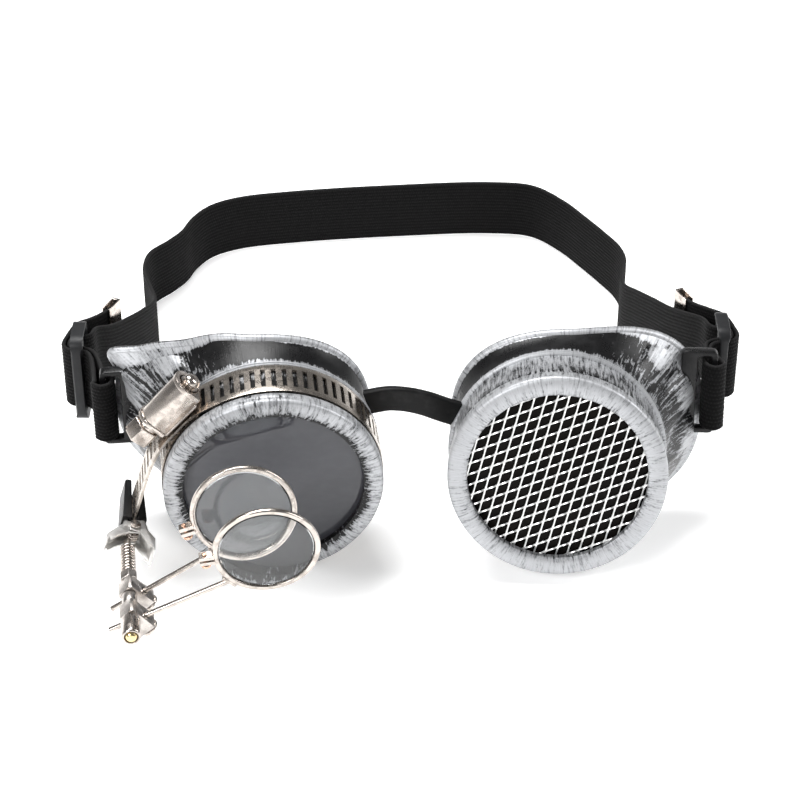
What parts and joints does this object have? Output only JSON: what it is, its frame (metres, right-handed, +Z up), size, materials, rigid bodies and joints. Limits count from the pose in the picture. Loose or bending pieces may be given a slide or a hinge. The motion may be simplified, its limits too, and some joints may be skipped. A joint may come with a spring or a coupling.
{
  "type": "welding goggles",
  "caption": "Costume welding goggles: screw-ring eyecups with brushed silver trim, rubber bridge, elastic head strap and swinging loupe lenses clipped to a worm-drive clamp.",
  "frame": {"origin": "on the table, under the middle of the whole object's box", "axes": "+Z up, +Y from the lenses back towards the back of the head, +X towards the grille cup"},
  "size_m": [0.195, 0.2314, 0.0639],
  "materials": {
    "cup_plastic": "black moulding with dry-brushed silver on its raised edges",
    "silver_brushed": "silver paint dry-brushed over black, darker flecks and radial streaks",
    "smoked_lens": "smooth smoked lens",
    "clear_lens": "clear polished magnifier",
    "grille_steel": "bright expanded metal",
    "nickel": "warm nickel plate",
    "dark_steel": "dark machined steel",
    "brass": "pale polished brass",
    "rubber": "soft black rubber",
    "webbing": "black ribbed elastic",
    "slider_plastic": "dark grey moulded plastic"
  },
  "bodies": {
    "goggles": {"cup_shell_left": "cup_plastic", "cup_shell_right": "cup_plastic", "face_bead_left": "silver_brushed", "face_bead_right": "silver_brushed", "lens_washer_left": "rubber", "clamp_band": "nickel", "clamp_housing": "nickel", "clip_jaw_fixed": "dark_steel", "jaw_boot_fixed": "rubber", "clip_pin": "nickel", "clip_spring": "nickel", "loupe_shaft": "nickel", "shaft_spring": "nickel", "shaft_nut": "dark_steel", "shaft_spacer": "dark_steel", "end_barrel": "dark_steel", "end_button": "brass", "bridge_strap": "rubber", "head_strap": "webbing", "slider_left": "slider_plastic", "slider_right": "slider_plastic", "tail_crimp_left": "nickel", "tail_crimp_right": "nickel"},
    "lens_pack_left": {"lens_left": "smoked_lens"},
    "ring_left": {"screw_ring_left": "silver_brushed"},
    "lens_pack_right": {"lens_right": "smoked_lens", "grille_right": "grille_steel"},
    "ring_right": {"screw_ring_right": "silver_brushed"},
    "worm": {"worm_screw": "nickel"},
    "clip_jaw": {"clip_jaw_moving": "dark_steel", "jaw_boot_moving": "rubber"},
    "block_rear": {"clamp_block_rear": "dark_steel"},
    "loupe_rear": {"loupe_frame_rear": "nickel", "lug_screw_rear": "brass", "loupe_lens_rear": "clear_lens"},
    "pinch_rear": {"pinch_screw_rear": "nickel"},
    "block_front": {"clamp_block_front": "dark_steel"},
    "loupe_front": {"loupe_frame_front": "nickel", "lug_screw_front": "brass", "loupe_lens_front": "clear_lens"},
    "pinch_front": {"pinch_screw_front": "nickel"}
  },
  "joints": [
    {"name": "lens_advance_left", "type": "slide", "parent": "goggles", "child": "lens_pack_left", "axis": [0.1044, -0.9933, -0.0488], "range_m": [0, 0.003]},
    {"name": "ring_unscrew_left", "type": "hinge", "parent": "lens_pack_left", "child": "ring_left", "pos_m": [-0.0341, -0.06921, 0.0304], "axis": [0.1044, -0.9933, -0.0488], "range_deg": [0, 360]},
    {"name": "lens_advance_right", "type": "slide", "parent": "goggles", "child": "lens_pack_right", "axis": [-0.0515, -0.9835, 0.1736], "range_m": [0, 0.003]},
    {"name": "ring_unscrew_right", "type": "hinge", "parent": "lens_pack_right", "child": "ring_right", "pos_m": [0.0427, -0.06761, 0.033], "axis": [-0.0515, -0.9835, 0.1736], "range_deg": [0, 360]},
    {"name": "worm_turn", "type": "hinge", "parent": "goggles", "child": "worm", "pos_m": [-0.0614, -0.0626, 0.05471], "axis": [-0.6693, -0.0338, -0.7423], "continuous": true},
    {"name": "clip_open", "type": "hinge", "parent": "goggles", "child": "clip_jaw", "pos_m": [-0.0731, -0.07191, 0.0172], "axis": [0.2924, 0.0307, 0.9558], "range_deg": [0, 16], "stiffness_Nm_per_rad": 0.02, "springref_deg": -20.05},
    {"name": "block_swing_rear", "type": "hinge", "parent": "goggles", "child": "block_rear", "pos_m": [-0.07184, -0.09534, 0.0172], "axis": [0.1191, -0.9929, 0], "range_deg": [-15, 100]},
    {"name": "arm_slide_rear", "type": "slide", "parent": "block_rear", "child": "loupe_rear", "axis": [0.8398, 0.0541, 0.5402], "range_m": [-0.01, 0.0045]},
    {"name": "pinch_turn_rear", "type": "hinge", "parent": "block_rear", "child": "pinch_rear", "pos_m": [-0.07322, -0.0955, 0.01864], "axis": [0.6897, 0.0827, -0.7193], "continuous": true},
    {"name": "block_swing_front", "type": "hinge", "parent": "goggles", "child": "block_front", "pos_m": [-0.0707, -0.10487, 0.0172], "axis": [0.1191, -0.9929, 0], "range_deg": [-15, 100]},
    {"name": "arm_slide_front", "type": "slide", "parent": "block_front", "child": "loupe_front", "axis": [0.9032, 0.0606, 0.4249], "range_m": [-0.01, 0.0045]},
    {"name": "pinch_turn_front", "type": "hinge", "parent": "block_front", "child": "pinch_front", "pos_m": [-0.07197, -0.10502, 0.01873], "axis": [0.6382, 0.0766, -0.766], "continuous": true}
  ],
  "couplings": [
    {"joint": "ring_unscrew_left", "follows": "lens_advance_left", "rad_per_m": 2094.4},
    {"joint": "ring_unscrew_right", "follows": "lens_advance_right", "rad_per_m": 2094.4}
  ]
}
